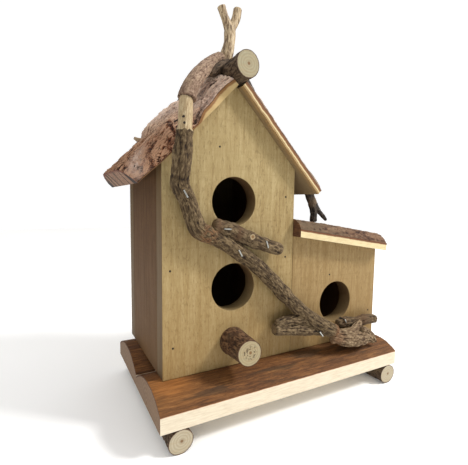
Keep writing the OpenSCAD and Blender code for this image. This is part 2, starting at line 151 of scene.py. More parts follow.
# What each mask for the materials is where a piece says nothing: the depth under its bark, the
# distance from its pith, the height of its relief, and how patchy and how bare it is.
PLAIN_MASKS = {"skin": 0.0, "ring": 99.0, "height": 0.8, "patch": 0.0, "bare": 0.0}

# The sum of the usual shares in a bark's tone.
USUAL_SHARES = 1.26

# How far the crown of a plank's round top is planed off.
PLANK_FLAT = 0.4

# The camera: its place in metres, its yaw to the right, pitch down and roll in degrees, and its
# lens and sensor in mm.
CAMERA_AT = (-0.17037, -0.28152, 0.17123)
CAMERA_YAW = 28.27
CAMERA_PITCH = 5.10
CAMERA_ROLL = 0.73
CAMERA_LENS = 26.80
CAMERA_SENSOR = 36

# Each light's place and size in metres and power in watts, and where both are aimed.
LIGHT_AIM = (0, 0, 0.15)
KEY_LIGHT = ((1.05, -0.8, 1.3), 0.35, 35)
FILL_LIGHT = ((-1.3, -0.9, 0.8), 1.2, 2)
EXPOSURE = -0.3

# Brightness of the studio's white dome at the horizon and overhead, and as the camera sees it.
SKY_LOW = 0.12
SKY_HIGH = 1.6
SKY_SEEN = 1.25

# Radius of the round floor in metres. It ends while the key light still reaches it.
FLOOR_RADIUS = 2.0
FLOOR_SIDES = 96


# ---- Noise ----

def xyz(*parts):
    """Points from their three coordinates, as an (..., 3) array."""
    return np.stack(np.broadcast_arrays(*parts), axis=-1)


def hashed(cells, seed):
    """A repeatable random number from 0 to 1 for each cell of whole numbers, an (..., 3) array."""
    c = cells.astype(np.int64).astype(np.uint32)
    h = c[..., 0] * np.uint32(0x8DA6B343) ^ c[..., 1] * np.uint32(0xD8163841)
    h = h ^ c[..., 2] * np.uint32(0xCB1AB31F) ^ np.uint32(seed * 0x9E3779B1 & 0xFFFFFFFF)
    for shift, factor in ((15, 0x2C1B3C6D), (12, 0x297A2D39)):
        h = (h ^ (h >> np.uint32(shift))) * np.uint32(factor)
    return (h ^ (h >> np.uint32(15))) / 0xFFFFFFFF


def noise(p, seed=0):
    """Smooth noise from 0 to 1 at points p, an (..., 3) array."""
    cell = np.floor(p)
    f = p - cell
    f = f * f * (3 - 2 * f)
    total = 0
    for corner in np.ndindex(2, 2, 2):
        total = total + np.prod(np.where(corner, f, 1 - f), axis=-1) * hashed(cell + corner, seed)
    return total


def layered(p, octaves, seed=0):
    """Noise from about 0 to 1 with finer and fainter layers."""
    total, weight = 0, 0
    for octave in range(octaves):
        total = total + noise(p * 2 ** octave, seed + octave) * 0.5 ** octave
        weight += 0.5 ** octave
    return total / weight


def ridged(p, octaves, seed=0):
    """Noise from 0 to 1 with sharp crests."""
    return 1 - np.abs(2 * layered(p, octaves, seed) - 1) * 1.6


def plates(p, seed=0):
    """Distance to the nearest gap between random plates, the plate's value and the way from its middle."""
    cell = np.floor(p)
    nearest = np.full(p.shape[:-1], 9.0)
    second = nearest.copy()
    value = np.zeros(p.shape[:-1])
    offset = np.zeros(p.shape)
    for step in np.ndindex(3, 3, 3):
        home = cell + np.array(step) - 1
        centre = home + xyz(*(hashed(home, seed + k) for k in range(3)))
        gap = np.linalg.norm(centre - p, axis=-1)
        closer = gap < nearest
        second = np.where(closer, nearest, np.minimum(second, gap))
        value = np.where(closer, hashed(home, seed + 7), value)
        offset = np.where(closer[..., None], p - centre, offset)
        nearest = np.where(closer, gap, nearest)
    return second - nearest, value, offset


def smooth(low, high, x):
    """0 below low, 1 above high and a smooth step between."""
    t = np.clip((x - low) / (high - low), 0, 1)
    return t * t * (3 - 2 * t)


def spot(x, y, at, size):
    """1 at a place and fading to 0 about size away from it, in two directions."""
    return np.exp(-((x - at[0]) / size[0]) ** 2 - ((y - at[1]) / size[1]) ** 2)


# ---- Materials ----

def rgb(red, green, blue):
    """A screen colour from 0 to 255 as the shader's linear colour."""
    linear = [((c / 255 + 0.055) / 1.055) ** 2.4 if c > 10 else c / 255 / 12.92
              for c in (red, green, blue)]
    return (*linear, 1)


class Shader:
    """One node material, built a socket at a time. Its colours are screen colours or sockets."""

    def __init__(self, name):
        self.material = bpy.data.materials.new(name)
        self.material.use_nodes = True
        self.tree = self.material.node_tree
        self.bsdf = self.tree.nodes["Principled BSDF"]

    def node(self, kind, inputs=(), **settings):
        made = self.tree.nodes.new(kind)
        for key, value in settings.items():
            setattr(made, key, value)
        for key, value in dict(inputs).items():
            self.feed(made.inputs[key], value)
        return made

    def feed(self, socket, value):
        if isinstance(value, bpy.types.NodeSocket):
            self.tree.links.new(value, socket)
        else:
            socket.default_value = rgb(*value) if socket.type == "RGBA" else value

    def place(self, scale=(1, 1, 1), turn=(0, 0, 0)):
        """Object coordinates in metres, turned and then stretched."""
        where = self.node("ShaderNodeTexCoord").outputs["Object"]
        if any(turn):
            where = self.node("ShaderNodeMapping", {"Vector": where, "Rotation": turn}).outputs["Vector"]
        return self.node("ShaderNodeMapping", {"Vector": where, "Scale": scale}).outputs["Vector"]

    def axes(self, vector):
        """The X, Y and Z of a vector, by name."""
        return self.node("ShaderNodeSeparateXYZ", {"Vector": vector}).outputs

    def mask(self, name):
        return self.node("ShaderNodeAttribute", attribute_name=name).outputs["Fac"]

    def noise(self, where, detail, rough, bend):
        return self.node("ShaderNodeTexNoise", {"Vector": where, "Scale": 1.0, "Detail": detail,
                                                "Roughness": rough, "Distortion": bend}).outputs["Fac"]

    def grain(self, scale, detail=4.0, rough=0.6, bend=0.0, turn=(0, 0, 0)):
        """Noise along the object's axes, with this many waves in a metre of each."""
        return self.noise(self.place(scale, turn), detail, rough, bend)

    def strand(self, scale, detail=4.0, rough=0.6, bend=0.0):
        """Noise that follows the piece's own grain, with this many waves in a millimetre."""
        flow = self.node("ShaderNodeAttribute", attribute_name="flow").outputs["Vector"]
        where = self.node("ShaderNodeMapping", {"Vector": flow, "Scale": scale}).outputs["Vector"]
        return self.noise(where, detail, rough, bend)

    def ramp(self, value, *stops):
        """Colour by value: stops are (position, colour)."""
        made = self.node("ShaderNodeValToRGB", {"Fac": value})
        bar = made.color_ramp.elements
        while len(bar) < len(stops):
            bar.new(0.5)
        for element, (position, colour) in zip(bar, stops):
            element.position = position
            element.color = rgb(*colour)
        return made.outputs["Color"]

    def span(self, value, low, high, to_low=0.0, to_high=1.0):
        return self.node("ShaderNodeMapRange", {"Value": value, "From Min": low, "From Max": high,
                                                "To Min": to_low, "To Max": to_high}).outputs["Result"]

    def maths(self, operation, *values):
        """One operation on the first value and each further one in turn."""
        result = values[0]
        for other in values[1:] or (0.0,):
            made = self.node("ShaderNodeMath", {0: result, 1: other}, operation=operation)
            result = made.outputs[0]
        return result

    def times(self, *values):
        return self.maths("MULTIPLY", *values)

    def weigh(self, *pairs):
        """Sum of values, each times its weight."""
        return self.maths("ADD", *(self.times(value, weight) for value, weight in pairs))

    def split(self, value, thin, thick, strength=1.0):
        """Thin lines where a noise crosses its middle."""
        away = self.maths("ABSOLUTE", self.maths("SUBTRACT", value, 0.5))
        return self.span(away, thin, thick, strength, 0)

    def mix(self, share, a, b, blend="MIX"):
        return self.node("ShaderNodeMix", {0: share, 6: a, 7: b}, data_type="RGBA",
                         blend_type=blend).outputs[2]

    def tint(self, colour, tone, value, low, high, share=1.0):
        """A colour that turns to this share of a tone as a value goes from low to high."""
        return self.mix(self.span(value, low, high, 0, share), colour, tone)

    def finish(self, colour, roughness, relief=None, depth=0.0, strength=1.0, **constants):
        """The material, with surface relief of about depth metres."""
        self.feed(self.bsdf.inputs["Base Color"], colour)
        self.feed(self.bsdf.inputs["Roughness"], roughness)
        if relief is not None:
            bump = self.node("ShaderNodeBump", {"Height": relief, "Distance": depth, "Strength": strength})
            self.feed(self.bsdf.inputs["Normal"], bump.outputs["Normal"])
        for name, value in constants.items():
            self.bsdf.inputs[name.replace("_", " ")].default_value = value
        return self.material


def board_wood(name, pale, mid, dark, edge, foot, gloss, across="Y"):
    """Planed board with upright grain, facing along one axis. Its sawn edges and foot have their own
    tones, its edges are painted lighter facing up and darker facing down as painted light and shade, and
    its inner face is painted dark as painted shade inside the house."""
    s = Shader(name)
    streaks = s.grain((260, 260, 14), 6, 0.7, 0.5)
    fibres = s.grain((620, 620, 110), 4, 0.8)
    pores = s.grain((820, 820, 300), 3)
    clouds = s.grain((16, 16, 9), 3)
    saw = s.grain((14, 14, 460), 4, 0.7, 0.3)
    at = s.axes(s.place())
    facing = s.axes(s.node("ShaderNodeNewGeometry").outputs["Normal"])
    colour = s.ramp(streaks, (0.30, dark), (0.47, mid), (0.68, pale))
    colour = s.tint(colour, dark, fibres, 0.42, 0.66, 0.48)
    colour = s.tint(colour, pale, fibres, 0.5, 0.32, 0.5)
    colour = s.tint(colour, (84, 62, 34), pores, 0.56, 0.66, 0.36)
    colour = s.tint(colour, dark, saw, 0.5, 0.7, 0.28)
    colour = s.tint(colour, mid, clouds, 0.35, 0.7, 0.35)
    colour = s.tint(colour, foot, at["Z"], 0.19, 0.05, 0.325)
    rim = s.tint(edge, dark, streaks, 0.3, 0.7, 0.35)
    # Edges facing up are painted lighter and edges facing down darker: painted light and shade from above,
    # over the edges' own tone.
    rim = s.tint(rim, s.mix(0.4, mid, edge), facing["Z"], -0.2, 0.9, 0.75)
    rim = s.tint(rim, s.mix(0.5, edge, (72, 46, 24)), facing["Z"], 0.1, -0.9, 0.6)
    colour = s.tint(rim, colour, s.maths("ABSOLUTE", facing[across]), 0.55, 0.85)
    # Faces looking into the house are painted dark brown: painted shade inside the closed house.
    colour = s.tint(colour, (44, 33, 22), s.times(facing["Y"], at["Y"]), -0.01, -0.03, 0.8)
    return s.finish(colour, s.span(streaks, 0.2, 0.8, gloss + 0.12, gloss),
                    s.weigh((fibres, 1), (saw, 1), (pores, 0.6)), 0.0003, 0.35, Specular_IOR_Level=0.14)


def sawn_wood(name, band, heart, cambium, rings, under=None, line=None, flecks=0.0,
              ring_tone=(176, 142, 92)):
    """Sawn face of a log: pale wood with growth rings, and a brown band of this width by the bark.

    under is the tone of a slab's underside, darker than the heart as painted shade under the slab, line
    that of a thin line inside the brown band, and flecks is how dark the flecked ring round the pith is."""
    s = Shader(name)
    skin, from_pith = s.mask("skin"), s.mask("ring")
    depth = s.maths("ADD", skin, s.span(s.grain((160, 160, 160), 3), 0, 1, -0.35, 0.35))
    distance = s.maths("ADD", from_pith, s.span(s.grain((90, 90, 90), 3), 0, 1, -1.2, 1.2))
    ring = s.maths("SINE", s.times(distance, 2 * math.pi * rings))
    grain = s.grain((75, 600, 800), 5, 0.75)
    saw = s.grain((1300, 1300, 1300), 2)
    wood = s.tint(heart, ring_tone, ring, -1, 1, 0.33)
    wood = s.tint(wood, s.mix(0.6, heart, (160, 126, 80)), grain, 0.4, 0.7, 0.6)
    wood = s.tint(wood, (112, 76, 42), from_pith, 1.7, 0.7, 0.85)
    if flecks:
        around_pith = s.times(s.span(distance, 1.8, 2.8), s.span(distance, 6.4, 5.2))
        fleck = s.span(s.grain((700, 700, 700), 3), 0.5, 0.64)
        wood = s.mix(s.times(around_pith, fleck, flecks), wood, (58, 40, 28))
    # A slab's flat underside gets the darker under tone: painted shade under the slab.
    if under:
        wood = s.tint(wood, s.tint(under, heart, grain, 0.3, 0.7, 0.4), skin, 60, 90)
    if line:
        wood = s.tint(wood, line, depth, band + 1.3, band + 0.7)
    brown = s.tint(cambium, (92, 54, 32), grain, 0.3, 0.7, 0.4)
    colour = s.tint(brown, wood, depth, band * 0.8, band * 1.15)
    colour = s.tint((74, 50, 36), colour, depth, 0.15, 0.75)
    return s.finish(colour, s.span(grain, 0.2, 0.8, 0.78, 0.6),
                    s.weigh((ring, 0.12), (grain, 1), (saw, 1)), 0.00025, 0.4, Specular_IOR_Level=0.25)


def bark(name, crack, dark, mid, light, patch, patch_scale=130, stops=(0.26, 0.44, 0.64, 0.92),
         shares=(0.62, 0.42, 0.22), lines=0.0, crust=0.0, low=None):
    """Bark: dark in the cracks, partly its own darker furrows and partly painted shade, lighter on the
    crests, with patches where the mask says.

    shares are the weights of the relief, the fibres and the grit in its tone. lines and crust are
    how strong its fine dark cracks and its whitish crests are. low is the height below which it
    darkens, and the height where that is done, in metres."""
    s = Shader(name)
    fibres = s.strand((1.1, 1.1, 0.16), 5, 0.7)
    grit = s.strand((2.6, 2.6, 1.1), 3, 0.7)
    height = s.mask("height")
    level = s.weigh(*zip((height, fibres, grit), shares))
    level = s.maths("SUBTRACT", level, (sum(shares) - USUAL_SHARES) / 2)
    colour = s.ramp(level, *zip(stops, (crack, dark, mid, light)))
    colour = s.tint(colour, s.mix(0.5, mid, dark), s.grain((38, 38, 38)), 0.42, 0.72, 0.5)
    if crust:
        flakes = s.strand((0.5, 0.5, 0.14), 5, 0.72)
        colour = s.tint(colour, s.tint(mid, light, grit, 0.36, 0.52), flakes, 0.51, 0.58, crust)
    if lines:
        way = s.strand((0.34, 0.34, 0.08), 3, 0.55, 0.6)
        colour = s.mix(s.split(way, 0.01, 0.036, lines), colour, crack)
    if low:
        share = s.span(s.axes(s.place())["Z"], low[0], low[1], 0, 0.85)
        colour = s.mix(share, colour, (176, 142, 114), "MULTIPLY")
    lichen = s.times(s.mask("patch"), s.span(s.grain((patch_scale,) * 3, 5, 0.75), 0.32, 0.52),
                     s.span(grit, 0.38, 0.52, 0.45, 1))
    colour = s.mix(s.maths("MINIMUM", lichen, 0.92), colour, s.tint(patch, mid, grit, 0.3, 0.7))
    # Where the relief is lowest the colour goes darker still: painted shade in the deepest cracks, over
    # the furrows' own dark tone.
    colour = s.tint(s.mix(0.35, crack, dark), colour, height, 0.04, 0.24)
    return s.finish(colour, 0.85, s.weigh((fibres, 1), (grit, 0.7)), 0.0006, 0.6, Specular_IOR_Level=0.25)


def roof_bark():
    return bark("roof_bark", (24, 15, 11), (84, 51, 34), (168, 114, 82), (248, 222, 196),
                (252, 240, 226), stops=(0.33, 0.48, 0.61, 0.78), shares=(0.85, 0.7, 0.5), lines=0.75,
                crust=0.5, low=(0.262, 0.215))


def grey_bark():
    return bark("grey_bark", (38, 27, 21), (80, 57, 43), (120, 93, 73), (170, 147, 124), (128, 124, 104),
                stops=(0.3, 0.46, 0.64, 0.88), shares=(0.6, 0.6, 0.5), lines=0.6, crust=0.3)


def annex_bark():
    return bark("annex_bark", (42, 27, 20), (80, 54, 39), (108, 78, 57), (140, 112, 88), (92, 92, 72),
                shares=(0.6, 0.6, 0.5), lines=0.6, crust=0.3)


def log_bark():
    return bark("log_bark", (28, 21, 15), (52, 40, 29), (76, 60, 45), (116, 97, 76), (98, 88, 70),
                stops=(0.24, 0.44, 0.68, 0.96))


def perch_bark():
    return bark("perch_bark", (28, 20, 14), (56, 38, 25), (80, 55, 36), (122, 92, 64), (104, 90, 66),
                stops=(0.24, 0.44, 0.68, 0.96))


def vine_bark():
    return bark("vine_bark", (24, 18, 12), (53, 40, 27), (86, 69, 48), (138, 118, 88), (104, 72, 50),
                patch_scale=300, stops=(0.28, 0.45, 0.63, 0.86), shares=(0.52, 0.5, 0.36))


def arch_bark():
    return bark("arch_bark", (40, 29, 22), (86, 65, 51), (126, 101, 83), (180, 156, 132), (190, 168, 134),
                patch_scale=300, shares=(0.6, 0.5, 0.5))


def root_bark():
    return bark("root_bark", (30, 20, 14), (70, 52, 38), (112, 90, 66), (172, 150, 118), (128, 84, 56),
                patch_scale=220)


def dark_vine_bark():
    return bark("dark_vine_bark", (20, 16, 14), (42, 36, 32), (66, 58, 52), (98, 88, 78), (160, 132, 98),
                patch_scale=60)


def nub_bark():
    return bark("nub_bark", (84, 62, 46), (136, 110, 86), (178, 156, 128), (206, 188, 160),
                (190, 170, 140), patch_scale=300)


def inner_bark():
    """Smooth reddish inner bark of the base planks, streaked along the log."""
    s = Shader("inner_bark")
    streaks = s.grain((48, 560, 560), 6, 0.74, 0.3)
    fibres = s.grain((150, 900, 900), 4, 0.8)
    veins = s.grain((15, 105, 105), 5, 0.6, 1.2)
    clouds = s.grain((10, 26, 26), 3)
    colour = s.ramp(streaks, (0.30, (58, 35, 18)), (0.44, (92, 57, 29)), (0.56, (116, 74, 38)),
                    (0.72, (152, 106, 60)))
    stained = s.weigh((veins, 1), (s.mask("bare"), 0.2), (fibres, 0.16))
    colour = s.tint(colour, (56, 42, 28), stained, 0.66, 0.76, 0.62)
    colour = s.tint(colour, (112, 84, 44), clouds, 0.42, 0.66, 0.2)
    colour = s.tint(colour, (52, 32, 20), fibres, 0.5, 0.66, 0.48)
    orange = s.tint((136, 84, 38), (170, 112, 56), streaks, 0.35, 0.65)
    colour = s.mix(s.times(s.mask("patch"), 0.7), colour, orange)
    # Where the relief is lowest the inner bark goes darker: partly its grooves' own tone, partly painted
    # shade.
    colour = s.tint((56, 34, 22), colour, s.mask("height"), 0.02, 0.35)
    return s.finish(colour, s.span(fibres, 0.3, 0.8, 0.6, 0.8), s.weigh((streaks, 1), (fibres, 1)),
                    0.0006, 0.7, Specular_IOR_Level=0.25)


def twig_wood():
    """Bare weathered wood with brown streaks and specks."""
    s = Shader("twig_wood")
    stain = (100, 76, 50)
    streaks = s.strand((0.55, 0.55, 0.09), 5, 0.65, 0.5)
    specks = s.strand((1.3, 1.3, 0.8), 3)
    colour = s.ramp(streaks, (0.36, stain), (0.48, (166, 142, 108)), (0.62, (196, 176, 142)))
    colour = s.tint(colour, stain, specks, 0.6, 0.72, 0.5)
    colour = s.tint(s.mix(0.3, stain, (50, 34, 22)), colour, s.mask("height"), 0.05, 0.35)
    return s.finish(colour, 0.62, streaks, 0.0005, 0.5)


def vine_with_bare_stretch():
    """The main stem: bark, and bare wood where the mask says it was peeled."""
    s = Shader("vine_peeling")
    fibres = s.strand((1.5, 1.5, 0.15), 5, 0.75)
    grit = s.strand((2.8, 2.8, 1.2), 3, 0.7)
    height, bare = s.mask("height"), s.mask("bare")
    level = s.weigh((height, 0.44), (fibres, 0.5), (grit, 0.36))
    skin = s.ramp(level, (0.3, (24, 18, 12)), (0.46, (50, 38, 25)), (0.64, (78, 62, 42)),
                  (0.88, (132, 112, 82)))
    torn = s.ramp(grit, (0.3, (52, 32, 22)), (0.5, (108, 70, 48)), (0.7, (196, 146, 92)))
    skin = s.mix(s.times(s.mask("patch"), 0.9), skin, torn)
    pale = s.ramp(fibres, (0.3, (96, 70, 44)), (0.46, (164, 141, 104)), (0.66, (206, 187, 152)))
    colour = s.tint(skin, pale, bare, 0.4, 0.6)
    # Where the relief is lowest the stem goes nearly black: painted shade in the deepest cracks, over the
    # furrows' own dark tone.
    colour = s.tint((34, 24, 18), colour, height, 0.04, 0.22)
    return s.finish(colour, s.span(bare, 0, 1, 0.86, 0.6), s.weigh((fibres, 1), (grit, 0.7)), 0.0006, 0.6,
                    Specular_IOR_Level=0.25)


def weathered_end():
    """Rough grey-brown cut of the left slab's eave, split by dark cracks."""
    s = Shader("weathered_end")
    turn = (0, math.pi / 2 + ROOF_PITCH, 0)
    fibres = s.grain((420, 420, 420), 5, 0.75, turn=turn)
    crack = s.split(s.grain((12, 50, 12), 2, 0.5, turn=turn), 0.02, 0.055)
    colour = s.ramp(fibres, (0.3, (96, 68, 50)), (0.55, (146, 112, 88)), (0.75, (178, 148, 122)))
    colour = s.mix(crack, colour, (34, 22, 16))
    colour = s.tint((108, 62, 46), colour, s.mask("skin"), 0.4, 1.8)
    return s.finish(colour, 0.8, s.maths("SUBTRACT", fibres, crack), 0.0006, 0.6)


def dark_end():
    """Dark brown end grain of the annex slab."""
    s = Shader("dark_end")
    grain = s.grain((500, 160, 500), 5, 0.7)
    colour = s.ramp(grain, (0.3, (62, 38, 24)), (0.55, (106, 70, 44)), (0.75, (146, 104, 68)))
    return s.finish(colour, 0.75, grain, 0.0005, 0.5)


def bright_steel():
    s = Shader("bright_steel")
    scratches = s.grain((2500, 2500, 300), 3)
    colour = s.ramp(scratches, (0.3, (138, 138, 132)), (0.7, (206, 206, 200)))
    return s.finish(colour, s.span(scratches, 0.3, 0.7, 0.3, 0.46), scratches, 0.0001, 0.3, Metallic=1.0)


def dull_steel():
    s = Shader("dull_steel")
    rust = s.grain((900, 900, 900))
    colour = s.ramp(rust, (0.35, (82, 66, 54)), (0.65, (122, 106, 92)))
    return s.finish(colour, s.span(rust, 0.3, 0.7, 0.5, 0.75), rust, 0.0002, 0.4, Metallic=0.7)


def dark_pin():
    s = Shader("dark_pin")
    rust = s.grain((1800, 1800, 1800), 3)
    colour = s.ramp(rust, (0.35, (30, 24, 20)), (0.65, (62, 48, 38)))
    return s.finish(colour, s.span(rust, 0.3, 0.7, 0.5, 0.75), Metallic=0.6)


# ---- Mesh building ----

def cap_points(outline, pith, bump_height, seed):
    """Points of a sawn end: CAP_RINGS rings from its outline in to the pith, and the pith."""
    shares = np.linspace(0, 1, CAP_RINGS + 2)[1:-1]
    rings = pith + (outline[None] - pith) * (1 - shares)[:, None, None]
    normal = np.cross(outline[len(outline) // 4] - pith, outline[0] - pith)
    normal /= np.linalg.norm(normal)
    rough = layered(rings / 2.2, 3, seed) - 0.5
    return np.vstack([(rings + rough[..., None] * bump_height * normal).reshape(-1, 3), pith])


def add_attribute(mesh, name, values):
    """Gives the mesh's points a value or a vector each."""
    vector = values.ndim == 2
    made = mesh.attributes.new(name, "FLOAT_VECTOR" if vector else "FLOAT", "POINT")
    made.data.foreach_set("vector" if vector else "value", values.astype(np.float32).ravel())


def swept(name, rings, side_materials, end_material, materials, masks, piths, flow,
          bark_points=slice(None), end_rough=0.25, seed=1):
    """Closed piece through rings of points, an (R, K, 3) array in mm, with both ends closed.

    side_materials is the material index of each of the K strips, and end_material that of the
    first and the last end. masks holds values for the materials that fit (R, K), flow the points'
    places along the grain, and bark_points says which of the K points are bark."""
    count, around, _ = rings.shape
    outlines = (rings[0], rings[-1])
    ends = [cap_points(outline, pith, end_rough, seed + i)
            for i, (outline, pith) in enumerate(zip(outlines, piths))]
    points = np.vstack([rings.reshape(-1, 3), *ends])
    k = np.arange(around)
    after = (k + 1) % around
    quads, index = [], []

    def strip(first, second, strip_materials):
        quads.append(np.stack([first + k, first + after, second + after, second + k], axis=1))
        index.append(strip_materials)

    for i in range(count - 1):
        strip(i * around, (i + 1) * around, side_materials)
    triangles = []
    base = count * around
    for end, first in ((0, 0), (1, (count - 1) * around)):
        for step in range(CAP_RINGS):
            strip(first, base + step * around, np.full(around, end_material[end]))
            first = base + step * around
        centre = base + CAP_RINGS * around
        triangles.append(np.stack([first + k, first + after, np.full(around, centre)], axis=1))
        base = centre + 1
    quads = np.vstack(quads)
    index = np.concatenate([*index, *(np.full(around, i) for i in end_material)])
    # Both ends' faces were made alike, so the first end's are turned round.
    sides = (count - 1) * around
    first_end = slice(sides, sides + CAP_RINGS * around)
    quads[first_end] = quads[first_end, ::-1]
    triangles[0] = triangles[0][:, ::-1]

    mesh = bpy.data.meshes.new(name)
    mesh.from_pydata((points * MM).tolist(), [], quads.tolist() + np.vstack(triangles).tolist())
    for material in materials:
        mesh.materials.append(material)
    mesh.polygons.foreach_set("material_index", index.astype(np.int32))

    for key, plain in PLAIN_MASKS.items():
        side = np.broadcast_to(masks.get(key, plain), (count, around))
        whole = [side.ravel()]
        for end, (spots, pith, outline) in enumerate(zip(ends, piths, outlines)):
            if key == "skin":
                whole.append(np.linalg.norm(spots[:, None] - outline[bark_points], axis=-1).min(1))
            elif key == "ring":
                whole.append(np.linalg.norm(spots - pith, axis=-1))
            else:
                whole.append(np.full(len(spots), plain if key == "height" else side[-end].mean()))
        add_attribute(mesh, key, np.concatenate(whole))
    along = points.copy()
    along[:count * around] = flow.reshape(-1, 3)
    add_attribute(mesh, "flow", along)
    mesh.update()
    turn_outward(mesh)
    mesh.shade_smooth()
    mesh.set_sharp_from_angle(angle=math.radians(SHARP_ANGLE))
    piece = bpy.data.objects.new(name, mesh)
    scene.collection.objects.link(piece)
    return piece


def point_places(mesh):
    """The mesh's points in metres, an (N, 3) array."""
    places = np.zeros(len(mesh.vertices) * 3, np.float32)
    mesh.vertices.foreach_get("co", places)
    return places.reshape(-1, 3)


def turn_outward(mesh):
    """Flips a closed mesh if its faces look inward."""
    mesh.calc_loop_triangles()
    corners_of = np.zeros(len(mesh.loop_triangles) * 3, np.int32)
    mesh.loop_triangles.foreach_get("vertices", corners_of)
    places = point_places(mesh)
    a, b, c = (places[corners_of.reshape(-1, 3)[:, i]] for i in range(3))
    if (a * np.cross(b, c)).sum() < 0:
        mesh.flip_normals()


def settle(piece, slot, *nodes):
    """Rides a new piece on the house, in place of these CAD nodes."""
    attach(piece, "house")
    if nodes:
        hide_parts(*nodes)


# ---- Stems ----

def route(points, spacing):
    """A smooth curve through [x, y, z, diameter] points, evenly spaced, and the run along it."""
    p = np.array(points, float)
    padded = np.vstack([2 * p[0] - p[1], p, 2 * p[-1] - p[-2]])
    fine = []
    t = np.linspace(0, 1, 40, endpoint=False)[:, None]
    for a, b, c, d in zip(padded, padded[1:], padded[2:], padded[3:]):
        fine.append((2 * b + (c - a) * t + (2 * a - 5 * b + 4 * c - d) * t ** 2
                     + (3 * b - a - 3 * c + d) * t ** 3) / 2)
    fine = np.vstack([*fine, p[-1:]])
    run = np.concatenate([[0], np.cumsum(np.linalg.norm(np.diff(fine[:, :3], axis=0), axis=1))])
    at = np.linspace(0, run[-1], int(run[-1] / spacing))
    return np.stack([np.interp(at, run, fine[:, k]) for k in range(4)], axis=1), at


def stem(name, points, relief, materials, sides=64, spacing=0.75, round_ends=(1.5, 1.5),
         end_material=(1, 1), seed=1):
    """Branch along a route, rounded over this many mm at each end.

    relief(where, run, x, z) gives how far its skin stands out in mm, and its masks."""
    line, run = route(points, spacing)
    ahead = np.gradient(line[:, :3], axis=0)
    ahead /= np.linalg.norm(ahead, axis=1)[:, None]
    side = np.cross(ahead, [0, 1, 0])
    side /= np.linalg.norm(side, axis=1)[:, None]
    other = np.cross(ahead, side)
    angle = np.linspace(0, 2 * math.pi, sides, endpoint=False)
    radius = line[:, 3:] / 2
    shape = xyz(np.cos(angle) * radius, np.sin(angle) * radius, run[:, None])
    stands, masks = relief(shape, run[:, None], line[:, None, 0], line[:, None, 2])
    left = np.minimum(run / round_ends[0], 1)
    right = np.minimum((run[-1] - run) / round_ends[1], 1)
    ease = 0.72 + 0.28 * np.sqrt(1 - (1 - np.minimum(left, right)) ** 2)
    reach = (radius + stands) * ease[:, None]
    rings = (line[:, None, :3] + side[:, None] * (np.cos(angle) * reach)[..., None]
             + other[:, None] * (np.sin(angle) * reach)[..., None])
    return swept(name, rings, np.zeros(sides, int), end_material, materials, masks=masks,
                 piths=[line[0, :3], line[-1, :3]], flow=shape, seed=seed)


def rough_skin(where, seed, ridge=0.6, lump=0.6, grain=0.35, long=6.0, split=0.35):
    """Rough stringy bark: how far it stands out, in mm, and its height from 0 to 1."""
    squeezed = where / (1.15, 1.15, long)
    strings = ridged(squeezed + 0.55 * noise(where / 4, seed + 3)[..., None], 3, seed)
    lumps = layered(where / (4.5, 4.5, 8), 2, seed + 20) - 0.5
    fine = layered(where / (0.8, 0.8, 1.6), 2, seed + 40) - 0.5
    cracks = smooth(0.62, 0.72, layered(where / (0.9, 0.9, 5), 2, seed + 60))
    stands = ridge * (strings - 0.6) + 2 * lump * lumps + 2 * grain * fine - split * cracks
    height = np.clip(0.2 + 0.55 * strings + 0.95 * fine - split * cracks, 0, 1)
    return stands, height


def front_vine_relief(where, run, x, z):
    """Rough bark with a peeled stretch at the top and torn fibres where the short branch starts."""
    stands, height = rough_skin(where, 11)
    ragged = 2.5 * (noise(where / (1.6, 1.6, 4), 5) - 0.5)
    bare = smooth(PEELED_FROM + 0.1, PEELED_FROM + 1.1, z + ragged)
    lip = np.exp(-((z + ragged - PEELED_FROM) / 1.2) ** 2)
    smooth_skin = 0.9 * (layered(where / (3, 3, 12), 2, 9) - 0.5)
    stands = stands * (1 - bare) + smooth_skin * bare + 0.6 * lip * (1 - bare)
    height = height * (1 - bare) + 0.75 * bare
    torn = spot(x, z, (-66, 150), (6, 5)) * smooth(0.45, 0.6, noise(where / 1.6, 31))
    torn = np.maximum(torn, spot(x, z, (53, 57), (3.5, 3.5)))
    scar = spot(x, z, (-89, 188), (6, 1.2))
    stands = stands + 0.7 * torn * layered(where / 1.2, 2, 33) - 0.5 * scar
    knot = spot(x, z, (3, 96), (5, 4))
    stands = stands + 0.9 * knot
    return stands, {"height": np.clip(height - 0.3 * scar, 0, 1), "patch": torn, "bare": bare}


def plain_relief(seed, ridge=0.55, lump=0.7, grain=0.35, long=6.0, patches=()):
    """Relief with rough bark and patches, each (x, z, size)."""
    def relief(where, run, x, z):
        stands, height = rough_skin(where, seed, ridge, lump, grain, long)
        patch = 0.0
        for px, pz, size in patches:
            patch = np.maximum(patch, spot(x, z, (px, pz), (size, size)))
        return stands, {"height": height, "patch": patch}
    return relief


def arch_relief(where, run, x, z):
    """Thin flecked bark with fine wrinkles, and deeper ones near the ridge."""
    stands, height = rough_skin(where, 71, ridge=0.22, lump=0.35, grain=0.16, long=5, split=0.1)
    wrinkle = np.sin(run * 2.1 + 3 * noise(where / 3, 72)) * smooth(60, 66, run) * 0.3
    flecks = smooth(0.6, 0.7, layered(where / (0.75, 0.75, 1.1), 2, 78))
    # lip takes the height to nothing over the arch's first millimetre or so, so its bark is painted dark
    # there: painted shade where it starts on the main stem.
    lip = smooth(0.2, 1.4, run + 0.8 * noise(where / 1.5, 79))
    height = np.clip(0.3 + height * 0.6 + 0.25 * wrinkle - 0.45 * flecks, 0, 1) * lip
    stands = stands - 0.08 * flecks
    torn = spot(x, z, (-43, 288), (6, 5)) * smooth(0.35, 0.6, noise(where / 2, 77))
    patch = np.maximum(smooth(0.55, 0.75, noise(where / (2.5, 2.5, 5), 74)) * 0.5, torn)
    return stands + wrinkle, {"height": height, "patch": patch}


